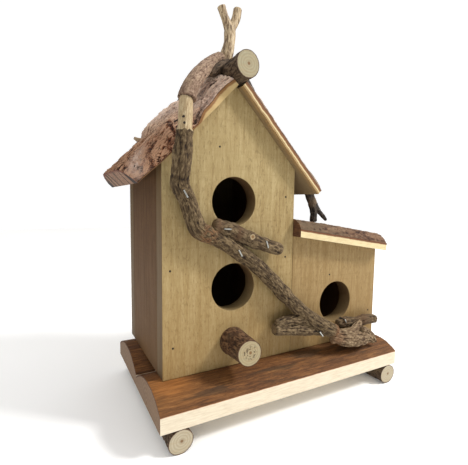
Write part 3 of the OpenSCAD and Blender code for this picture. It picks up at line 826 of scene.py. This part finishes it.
def root_relief(where, run, x, z):
    """Gnarled root wood with deep folds."""
    stands, height = rough_skin(where, 91, ridge=1.1, lump=1.7, grain=0.3, long=12)
    return stands, {"height": height, "patch": spot(x, z, (52, 54), (6, 6))}


def make_stems(bark_of):
    vine, root, arch, dark = (bark_of[k] for k in ("vine", "root", "arch", "dark"))
    log_skin, broken = bark_of["log"], bark_of["broken"]
    # Name, CAD node it stands for, route, skin and end materials, relief, and options for stem().
    stems = (
        ("front_vine_wood", "front_vine", FRONT_VINE, (vine_with_bare_stretch(), broken),
         front_vine_relief, dict(sides=72, spacing=0.7, round_ends=(0.6, 2), seed=3)),
        ("short_branch_wood", "short_branch", SHORT_BRANCH, (vine, vine),
         plain_relief(21, 0.7, 0.9, patches=((-43, 148, 3), (-60, 153, 3))),
         dict(round_ends=(3, 4), seed=5)),
        ("short_branch_knot", None, SHORT_BRANCH_KNOT, (vine, bark_of["knot"]),
         plain_relief(23, 0.2, 0.2), dict(sides=40, spacing=0.3, round_ends=(0.1, 0.5), seed=6)),
        ("lower_left_stub_wood", "lower_left_stub", LOWER_LEFT_STUB, (vine, vine),
         plain_relief(31, 0.8, 1.1), dict(round_ends=(4, 3), seed=7)),
        ("lower_left_strand", None, LOWER_LEFT_STRAND, (vine, vine),
         plain_relief(35, 0.8, 0.9), dict(round_ends=(2, 2), seed=17)),
        ("root_ridge", None, ROOT_RIDGE, (root, root),
         plain_relief(93, 0.8, 0.8), dict(sides=48, round_ends=(2, 2), seed=18)),
        ("root_spike", None, ROOT_SPIKE, (root, root),
         plain_relief(95, 0.5, 0.6), dict(sides=48, round_ends=(2, 2), seed=19)),
        ("lower_right_stub_wood", "lower_right_stub", LOWER_RIGHT_STUB, (vine, vine),
         plain_relief(41, 0.8, 1.1, patches=((95, 60, 9), (70, 60, 4))),
         dict(round_ends=(3, 3), seed=8)),
        ("root_wood", "root_piece", ROOT_PIECE, (root, root),
         root_relief, dict(sides=80, spacing=0.6, round_ends=(4, 3), seed=9)),
        ("vine_arch_wood", "vine_arch", VINE_ARCH, (arch, broken),
         arch_relief, dict(round_ends=(0.8, 3), seed=10)),
        ("arch_spur", None, ARCH_SPUR, (log_skin, log_skin),
         plain_relief(75, 0.3, 0.5, 0.2), dict(sides=48, round_ends=(2, 1), seed=11)),
        ("right_vine_wood", "right_vine", RIGHT_VINE, (dark, dark),
         plain_relief(51, patches=((55.5, 172, 4.5),)), dict(sides=48, spacing=0.9, seed=12)),
        ("right_vine_spur", None, RIGHT_VINE_SPUR, (dark, dark),
         plain_relief(53, 0.3, 0.3), dict(sides=32, spacing=0.6, seed=13)))
    for name, node, points, skins, relief, options in stems:
        settle(stem(name, points, relief, skins, **options), "vine_bark", *([node] if node else []))


def make_twig(twig_material, sawn):
    """Fork of three round bars, grown into one skin."""
    parts = []
    for i, points in enumerate((TWIG_STEM, TWIG_LEFT, TWIG_RIGHT)):
        relief = plain_relief(61 + i, 0.25, 0.5, 0.1, 14)
        parts.append(stem(f"twig_bar_{i}", points, relief, [twig_material], sides=48, spacing=0.5,
                          round_ends=(0.2, 0.3), end_material=(0, 0), seed=15 + i))
    bpy.ops.object.select_all(action="DESELECT")
    for part in parts:
        part.select_set(True)
    bpy.context.view_layer.objects.active = parts[0]
    bpy.ops.object.join()
    twig = bpy.context.view_layer.objects.active
    twig.name = twig.data.name = "forked_twig_wood"
    for name, kind, settings in (
            ("grow_together", "REMESH", {"mode": "VOXEL", "voxel_size": TWIG_VOXEL * MM}),
            ("soften", "SMOOTH", {"factor": 0.5, "iterations": 2})):
        modifier = twig.modifiers.new(name, kind)
        for key, value in settings.items():
            setattr(modifier, key, value)
        bpy.ops.object.modifier_apply(modifier=name)
    mesh = twig.data
    for name in ("flow", *PLAIN_MASKS):
        if name in mesh.attributes:
            mesh.attributes.remove(mesh.attributes[name])
    places = point_places(mesh) / MM
    lined = layered(places / (1.4, 1.4, 7), 3, 66)
    add_attribute(mesh, "height", np.clip(smooth(0.3, 0.45, lined) + 0.1, 0, 1))
    add_attribute(mesh, "flow", places)
    mesh.materials.clear()
    mesh.materials.append(twig_material)
    mesh.materials.append(sawn)
    top = places[:, 2].max() - 0.5
    for polygon in mesh.polygons:
        polygon.material_index = int(polygon.center.z / MM > top and polygon.normal.z > 0.8)
    mesh.shade_smooth()
    mesh.set_sharp_from_angle(angle=math.radians(50))
    settle(twig, "peeled_twig", "forked_twig")


# ---- Half logs ----

def shoulder_height(inward, edge, crown, shoulder):
    """Thickness of a slab this far in from its edge, before its bark's relief."""
    drop = crown - edge
    radius = (shoulder ** 2 + drop ** 2) / (2 * drop)
    inside = np.clip(shoulder - inward, 0, shoulder)
    return crown - radius + np.sqrt(radius ** 2 - inside ** 2)


def flaky_bark(across, along, seed, depth):
    """Shaggy bark that flakes along the log: relief in mm and its height from 0 to 1."""
    where = xyz(across, along, 40.0 * seed)
    bent = where + 4 * (xyz(*(layered(where / 9, 3, seed + k) for k in (1, 2, 3))) - 0.5)
    gap, plate, _ = plates(bent / (5, 30, 9), seed)
    flake_gap, flake, lean = plates(bent / (1.9, 11, 4), seed + 5)
    crack = smooth(0.02, 0.12, gap)
    flake_edge = smooth(0.0, 0.16, flake_gap)
    strings = ridged(bent / (1.1, 9, 4), 3, seed + 9)
    grit = layered(where / (0.8, 2.2, 4), 2, seed + 11) - 0.5
    swell = layered(where / (14, 34, 9), 2, seed + 13) - 0.5
    shingle = (flake - 0.5) + 0.7 * lean[..., 1] * (flake - 0.2)
    relief = depth * (0.8 * (crack - 1) + 0.45 * (plate - 0.5) * crack + 0.6 * shingle
                      + 0.35 * (flake_edge - 1) + 0.5 * (strings - 0.5)) + 0.25 * grit + 2.0 * swell
    height = (0.14 + crack * (0.24 + 0.16 * flake_edge + 0.34 * strings + 0.5 * shingle)
              + 0.9 * grit + 0.2 * (plate - 0.5))
    return relief, np.clip(height, 0, 1)


def half_log(name, place, runs, front, back, top_y, top_t, divisions, pith, masks, end_material,
             materials, end_rough, seed, saw=0.0):
    """Half log whose points place(run, y, t) puts along it, across it and up from its flat.

    front and back are the y of its edges, top_y and top_t its bark, divisions how many strips its
    flat and each of its edges have, pith the y and t of its middle, masks the values for its bark
    and saw how deep the saw marks are, in mm."""
    flat, rise = (np.linspace(0, 1, count + 1)[None, :-1] for count in divisions)
    underside = 0 * runs + 0 * flat
    y = np.hstack([back + (front - back) * flat, front + 0 * rise, top_y, back + 0 * rise])
    t = np.hstack([underside, top_t[:, :1] * rise, top_t, top_t[:, -1:] * (1 - rise)])
    skin = np.hstack([underside + 99, top_t[:, :1] * (1 - rise), 0 * top_t, top_t[:, -1:] * rise])
    first, bark_count = sum(divisions), top_y.shape[1]
    bark_points = np.zeros(y.shape[1], bool)
    bark_points[first:first + bark_count] = True
    if saw:
        marks = layered(xyz(y / 3, runs / 9, t / 3), 2, seed + 30) - 0.5
        t = np.where(bark_points, t, np.maximum(t - saw * marks, 0))
    whole = {"skin": skin}
    for key, values in masks.items():
        whole[key] = np.full(y.shape, PLAIN_MASKS[key])
        whole[key][:, bark_points] = values
    strips = np.ones(y.shape[1], int)
    strips[first:first + bark_count - 1] = 0
    rings = xyz(*place(runs, y, t))
    piths = [np.array(place(run, *pith), float) for run in (runs[0, 0], runs[-1, 0])]
    return swept(name, rings, strips, end_material, materials, whole, piths,
                 xyz(y, t, runs), bark_points, end_rough, seed)


def slab(name, place, start, length, y0, y1, edge, crown, materials, seed, front_edge=None, thin=None,
         hump=None, lichen=None, eave_round=0.0, end_material=(1, 1), bark_depth=1.5, shoulder=SHOULDER):
    """Half-log roof slab. The functions say where its front edge runs, how much thinner that edge is,
    how far its bark stands out and where its lichen grows."""
    runs = np.linspace(start, length, int((length - start) / SLAB_STEP))[:, None]
    front = np.full_like(runs, y0) if front_edge is None else front_edge(runs)
    front = front + 0.5 * (noise(xyz(runs / 5, 0, seed), seed) - 0.5)
    back = np.full_like(runs, y1)
    y = front + (back - front) * np.linspace(0, 1, int((y1 - y0) / SLAB_STEP))[None]
    front_thick = edge if thin is None else edge * (1 - thin(runs))
    base = np.minimum(shoulder_height(y - front, front_thick, crown, shoulder),
                      shoulder_height(back - y, edge, crown, shoulder))
    run = runs + 0 * y
    relief, height = flaky_bark(y, run, seed, bark_depth)
    t = base + relief * (0.25 + 0.75 * smooth(0, 5, np.minimum(y - front, back - y)))
    if hump is not None:
        t = t + hump(run, y)
    if eave_round:
        over = np.clip((runs - (length - eave_round)) / eave_round, 0, 1)
        t = edge + (t - edge) * np.sqrt(1 - over ** 2)
    masks = {"height": height, "patch": 0.0 if lichen is None else lichen(run, y)}
    return half_log(name, place, runs, front, back, y, t, (26, 7), ((y0 + y1) / 2, crown * 0.4), masks,
                    end_material, materials, 0.5, seed, saw=0.12)


def main_roof_place(direction):
    """Places points of a main slab: direction is -1 for the left one and 1 for the right one."""
    def place(run, y, t):
        x = RIDGE_X + direction * (run * math.cos(ROOF_PITCH) + t * math.sin(ROOF_PITCH))
        return x, y, RIDGE_Z - run * math.sin(ROOF_PITCH) + t * math.cos(ROOF_PITCH)
    return place


def annex_roof_place(run, y, t):
    """Upright at the tall house and square to the slope at the far end."""
    lean = t * math.sin(ANNEX_PITCH) * run / ANNEX_SLAB_LENGTH
    x = ANNEX_LOW[0] + ANNEX_JOINT_GAP + run * math.cos(ANNEX_PITCH) + lean
    return x, y, ANNEX_HIGH[2] - run * math.sin(ANNEX_PITCH) + t * math.cos(ANNEX_PITCH)


def left_front_edge(run):
    """The left slab's front edge wanders back towards the eave."""
    return ROOF_Y0 + 12.5 * smooth(80, 104, run) + 0.8 * np.sin(run / 7.0)


def left_thin_edge(run):
    """The left slab's bark wraps round to its flat below the vine."""
    return 0.8 * smooth(38, 50, run)


def left_hump(run, y):
    """Thick old bark on the far side of the upper half, which ends in a step, and two lobes in front."""
    lobes = 4.5 * spot(run, y, (60, -41), (9, 8)) + 2.2 * spot(run, y, (17, -38), (12, 18))
    return 4.2 * smooth(6, 22, run) * (1 - smooth(49, 57, run)) * smooth(5, 32, y) + lobes


def left_lichen(run, y):
    """Pale crust near the ridge, on the far crest and by the front lower corner."""
    lower_front = spot(run, y, (94, -32), (9, 6)) + 0.5 * spot(run, y, (78, -20), (8, 5))
    crest = 0.9 * spot(run, y, (35, 52), (22, 22))
    upper = smooth(52, 34, run) * (0.45 + 0.5 * noise(xyz(run / 7, y / 5, 0), 6))
    return np.clip(lower_front + crest + upper, 0, 1)


def right_lichen(run, y):
    return 0.7 * smooth(0.4, 0.7, noise(xyz(run / 16, y / 16, 0), 4))


def annex_lichen(run, y):
    clouds = noise(xyz(run / 15, y / 15, 0), 8) - 0.5
    return np.clip(1.1 - run / 60 + 0.3 * clouds, 0, 1)


def make_roof(bark_of):
    # below and the annex's under tone are darker than the wood: painted shade on the slabs' undersides.
    below = (132, 112, 82)
    left_band = sawn_wood("left_rake_wood", 2.5, (190, 166, 116), (140, 100, 60), 0.5, under=below)
    right_band = sawn_wood("rake_wood", 2.5, (150, 124, 86), (126, 84, 50), 0.5, under=below,
                           line=(216, 196, 150))
    annex_band = sawn_wood("annex_roof_wood", 1.9, (222, 204, 160), (118, 76, 46), 0.3,
                           under=(150, 128, 96))
    main = (ROOF_Y0, ROOF_Y1, SLAB_EDGE, SLAB_CROWN)
    settle(slab("left_roof_wood", main_roof_place(-1), RIDGE_GAP, LEFT_SLOPE, *main,
                [bark_of["roof"], left_band, weathered_end()], 5, left_front_edge, left_thin_edge,
                left_hump, left_lichen, end_material=(1, 2)), "roof_bark", "left_roof_slab")
    settle(slab("right_roof_wood", main_roof_place(1), RIDGE_GAP, RIGHT_SLOPE, *main,
                [bark_of["grey"], right_band], 8, lichen=right_lichen, eave_round=3, bark_depth=1.0),
           "roof_bark", "right_roof_slab")
    settle(slab("annex_roof_wood", annex_roof_place, 0, ANNEX_SLAB_LENGTH, ANNEX_SLAB_Y0, ANNEX_SLAB_Y1,
                ANNEX_SLAB_EDGE, ANNEX_SLAB_CROWN, [bark_of["annex"], annex_band, dark_end()], 12,
                lichen=annex_lichen, eave_round=3, end_material=(2, 1), bark_depth=0.8,
                shoulder=ANNEX_SHOULDER),
           "roof_bark", "annex_roof_slab")
    settle(stem("left_roof_nub", BARK_NUB, plain_relief(81, 0.2, 0.3, 0.2),
                [bark_of["nub"], bark_of["broken"]], sides=32, spacing=0.5, seed=44), "roof_bark")


def plank(name, node, rear_radius, crest_y, seed, front_radius, materials, orange_at=None, stains=()):
    """Half-log plank of the base along X, with its inner bark on top.

    Its top is round, with one radius in front of the crest and one behind it. orange_at is the
    middle of a patch of orange bark, and stains are as in BASE_STAINS."""
    low, high = corners(node)
    runs = np.linspace(low[0], high[0], int(high[0] - low[0]))[:, None]
    y = low[1] + (high[1] - low[1]) * np.linspace(0, 1, 80)[None]
    radius = np.where(y < crest_y, front_radius, rear_radius)
    z = high[2] + PLANK_FLAT - radius + np.sqrt(radius ** 2 - (y - crest_y) ** 2)
    z = np.minimum(z, high[2]) + 0 * runs
    y = y + 0 * runs
    where = xyz(runs / 14, y / 2.4, seed)
    strings = ridged(where, 4, seed)
    ripple = layered(xyz(runs / 60, y / 16, 0), 2, seed + 2)
    relief = 0.35 * (1 - strings).clip(0, 1) + 0.5 * ripple
    z = z - relief * (0.25 + 0.75 * smooth(0, 7, y - low[1]))
    right_end = np.clip(1 - (high[0] - runs) / 5, 0, 1)
    z = z - 2.6 * right_end ** 2 * smooth(low[1] + 8, low[1] + 40, y)
    orange = 0.0
    if orange_at:
        orange = np.clip(1.3 * spot(runs, y, orange_at, (16, 15)) * (0.5 + noise(where * 2, 9)), 0, 1)
    stain = 0 * y
    for x, at_y, length, width in stains:
        stain = np.maximum(stain, spot(runs, y, (x, at_y), (length, width)))
    masks = {"height": np.clip(0.3 + 0.7 * strings, 0, 1), "patch": orange, "bare": stain}
    pith = ((low[1] + high[1]) / 2, 4)
    return half_log(name, lambda x, y, t: (x, y, low[2] + t), runs, low[1] + 0 * runs, high[1] + 0 * runs,
                    y, z - low[2], (16, 9), pith, masks, (2, 2), materials, 0.3, seed)


def make_base():
    left_end = corners("base_front_plank")[0][0]
    rear_crest = corners("base_rear_plank")[0][1] + 36
    materials = [inner_bark(),
                 sawn_wood("plank_wood", 0.9, (228, 216, 192), (184, 122, 66), 0.2),
                 sawn_wood("plank_end", 1.0, (132, 108, 88), (92, 62, 42), 0.3, ring_tone=(84, 58, 40))]
    settle(plank("front_plank_wood", "base_front_plank", 72, FRONT_Y, 33, 47, materials,
                 (left_end + 12, FRONT_Y - 4), BASE_STAINS), "base_wood", "base_front_plank")
    settle(plank("rear_plank_wood", "base_rear_plank", 62, rear_crest, 35, 62, materials),
           "base_wood", "base_rear_plank")


# ---- Round logs ----

def log(node, materials, seed, taper=0.0, relief=0.5, flat=False, across="x"):
    """Round log along Y in its bark, in place of a CAD node, with sawn ends.

    taper is how much smaller its front end's radius is, flat keeps it within its node's height, and
    across is the direction that its diameter is taken from."""
    low, high = corners(node)
    middle = (low + high) / 2
    start, end = (np.array([middle[0], y, middle[2]]) for y in (low[1], high[1]))
    length = high[1] - low[1]
    runs = np.linspace(0, 1, int(length / LOG_STEP))
    angle = np.linspace(0, 2 * math.pi, LOG_SIDES, endpoint=False)
    circle = xyz(np.cos(angle), 0, np.sin(angle))
    axis = "xyz".index(across)
    radius = ((high[axis] - low[axis]) / 2 - taper * (1 - runs))[:, None]
    turned = xyz(np.cos(angle) * radius, np.sin(angle) * radius, runs[:, None] * length)
    strings = ridged(turned / (2.0, 2.0, 8), 3, seed)
    gap, plate, lean = plates(turned / (2.2, 2.2, 8), seed + 3)
    crack = smooth(0, 0.14, gap)
    grit = layered(turned / (0.9, 0.9, 1.8), 2, seed + 6) - 0.5
    stands = relief * (0.7 * (crack - 1) + 0.9 * (strings - 0.7) + 0.7 * (plate - 0.8) * (1 + lean[..., 2])
                       + 0.7 * grit)
    stands = stands * (0.2 + 0.8 * smooth(0, 2.5, length * np.minimum(runs, 1 - runs)))[:, None]
    oval = 0.97 + 0.03 * np.cos(2 * angle + seed)
    reach = (radius + stands) * oval
    rings = start + (end - start) * runs[:, None, None] + circle * reach[..., None]
    if flat:
        rings[..., 2] = np.clip(rings[..., 2], low[2], high[2])
    height = np.clip(0.1 + crack * (0.25 + 0.45 * strings + 0.25 * plate) + 0.8 * grit, 0, 1)
    patch = 0.5 * smooth(0.5, 0.7, noise(turned / 9, seed + 8))
    off_centre = np.array((0.6, 0, 0.4))
    settle(swept(node + "_wood", rings, np.zeros(LOG_SIDES, int), (1, 1), materials,
                 {"height": height, "patch": patch}, [start + off_centre, end + off_centre], turned,
                 end_rough=0.2, seed=seed), "log_bark", node)


def make_logs(bark_of):
    disc = sawn_wood("ridge_disc", 0.5, (162, 154, 126), (92, 70, 48), 0.5, ring_tone=(116, 100, 70))
    log("ridge_log", [bark_of["log"], disc], 3, across="z")
    disc = sawn_wood("perch_disc", 0.6, (164, 152, 120), (92, 60, 40), 0.5, flecks=0.9,
                     ring_tone=(112, 92, 62))
    log("perch_log", [bark_of["perch"], disc], 14, taper=1.5, relief=0.55)
    disc = sawn_wood("foot_disc", 0.5, (184, 174, 150), (102, 78, 56), 0.55, ring_tone=(124, 106, 78))
    for i, node in enumerate(("left_foot_log", "right_foot_log")):
        log(node, [bark_of["log"], disc], 24 + i, flat=True)


# ---- CAD nodes that stay ----

def dress(node, material, bevel):
    """Gives a CAD node its material and small round edges, of this width in mm."""
    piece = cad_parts[node]
    for slot in piece.material_slots:
        slot.material = material
    weld = piece.modifiers.new("join_faces", "WELD")
    weld.merge_threshold = 0.01 * MM
    soft = piece.modifiers.new("round_edges", "BEVEL")
    soft.width = bevel * MM
    soft.segments = 3 if bevel > 0.5 else 2
    soft.limit_method = "ANGLE"
    soft.angle_limit = math.radians(35)
    soft.harden_normals = True


def dress_cad_nodes():
    edge, foot = (90, 68, 46), (146, 104, 48)
    panel = board_wood("panel_wood", (184, 165, 121), (161, 141, 98), (138, 115, 75), edge, foot, 0.5)
    annex = board_wood("annex_wood", (173, 152, 110), (150, 128, 88), (130, 106, 69), edge, foot, 0.5)
    side = board_wood("side_wood", (108, 76, 44), (86, 59, 33), (62, 41, 23), (104, 78, 54),
                      (132, 100, 64), 0.6, "X")
    cover = board_wood("cover_wood", (150, 116, 78), (130, 96, 62), (102, 72, 46), (96, 70, 48),
                       (120, 84, 50), 0.45)
    for material, bevel, nodes in (
            (panel, 0.5, ("front_panel", "rear_panel", "upper_floor")),
            (annex, 0.5, ("annex_front_panel", "annex_rear_panel")),
            (side, 0.4, ("left_side_wall", "partition_wall", "annex_side_wall")),
            (cover, 0.6, ("upper_cover", "lower_cover", "annex_cover")),
            (bright_steel(), 0.3, ("vine_staples", "cover_pivot_screws", "foot_nails", "base_nails",
                                   "perch_screw")),
            (dull_steel(), 0.3, ("roof_nails", "ridge_nails")),
            (dark_pin(), 0.1, ("vine_nails", "panel_brads", "rear_brads"))):
        for node in nodes:
            dress(node, material, bevel)


# ---- Studio ----

def show(name, data):
    """A new object in the scene."""
    made = bpy.data.objects.new(name, data)
    scene.collection.objects.link(made)
    return made


def make_camera():
    yaw, pitch, roll = (math.radians(a) for a in (CAMERA_YAW, CAMERA_PITCH, CAMERA_ROLL))
    data = bpy.data.cameras.new("camera")
    data.lens = CAMERA_LENS
    data.sensor_width = CAMERA_SENSOR
    data.clip_start = 0.01
    camera = show("camera", data)
    camera.matrix_world = (Matrix.Translation(CAMERA_AT) @ Matrix.Rotation(-yaw, 4, "Z")
                           @ Matrix.Rotation(math.pi / 2 - pitch, 4, "X") @ Matrix.Rotation(roll, 4, "Z"))
    scene.camera = camera


def area_light(name, at, size, power):
    data = bpy.data.lights.new(name, "AREA")
    data.size = size
    data.energy = power
    light = show(name, data)
    light.location = at
    light.rotation_mode = "QUATERNION"
    light.rotation_quaternion = (Vector(LIGHT_AIM) - Vector(at)).to_track_quat("-Z", "Y")


def make_sky():
    """White dome, brighter overhead, which the camera sees as plain white."""
    world = bpy.data.worlds.new("studio")
    world.use_nodes = True
    tree = world.node_tree
    link = tree.links.new
    lit = tree.nodes["Background"]
    seen = tree.nodes.new("ShaderNodeBackground")
    for background in (lit, seen):
        background.inputs["Color"].default_value = (1, 1, 1, 1)
    seen.inputs["Strength"].default_value = SKY_SEEN
    way = tree.nodes.new("ShaderNodeTexCoord")
    height = tree.nodes.new("ShaderNodeSeparateXYZ")
    rise = tree.nodes.new("ShaderNodeMapRange")
    rise.inputs["To Min"].default_value = SKY_LOW
    rise.inputs["To Max"].default_value = SKY_HIGH
    link(way.outputs["Generated"], height.inputs[0])
    link(height.outputs["Z"], rise.inputs["Value"])
    link(rise.outputs["Result"], lit.inputs["Strength"])
    mixer = tree.nodes.new("ShaderNodeMixShader")
    path = tree.nodes.new("ShaderNodeLightPath")
    for i, source in enumerate((path.outputs["Is Camera Ray"], lit.outputs[0], seen.outputs[0])):
        link(source, mixer.inputs[i])
    link(mixer.outputs[0], tree.nodes["World Output"].inputs["Surface"])
    scene.world = world


def make_floor():
    s = Shader("floor")
    colour = s.ramp(s.grain((3, 3, 3), 2), (0.3, (246, 245, 243)), (0.7, (251, 250, 248)))
    material = s.finish(colour, 0.9, Emission_Color=(1, 1, 1, 1), Emission_Strength=0.1)
    turns = [2 * math.pi * i / FLOOR_SIDES for i in range(FLOOR_SIDES)]
    mesh = bpy.data.meshes.new("floor")
    mesh.from_pydata([(FLOOR_RADIUS * math.cos(a), FLOOR_RADIUS * math.sin(a), 0) for a in turns], [],
                     [range(FLOOR_SIDES)])
    mesh.materials.append(material)
    floor = show("floor", mesh)


def make_studio():
    make_camera()
    make_sky()
    make_floor()
    area_light("key", *KEY_LIGHT)
    area_light("fill", *FILL_LIGHT)
    scene.view_settings.view_transform = "Standard"
    scene.view_settings.exposure = EXPOSURE


# ---- Making it all ----

make_studio()
barks = {"roof": roof_bark(), "grey": grey_bark(), "annex": annex_bark(), "log": log_bark(),
         "perch": perch_bark(), "vine": vine_bark(), "arch": arch_bark(), "root": root_bark(),
         "dark": dark_vine_bark(), "nub": nub_bark(),
         "knot": sawn_wood("knot_end", 0.35, (160, 146, 114), (110, 90, 66), 0.4),
         "broken": sawn_wood("broken_end", 1.0, (176, 150, 112), (100, 70, 46), 0.5)}
make_base()
make_roof(barks)
make_logs(barks)
make_stems(barks)
make_twig(twig_wood(), sawn_wood("twig_end", 0.4, (190, 168, 132), (110, 82, 56), 0.8))
dress_cad_nodes()
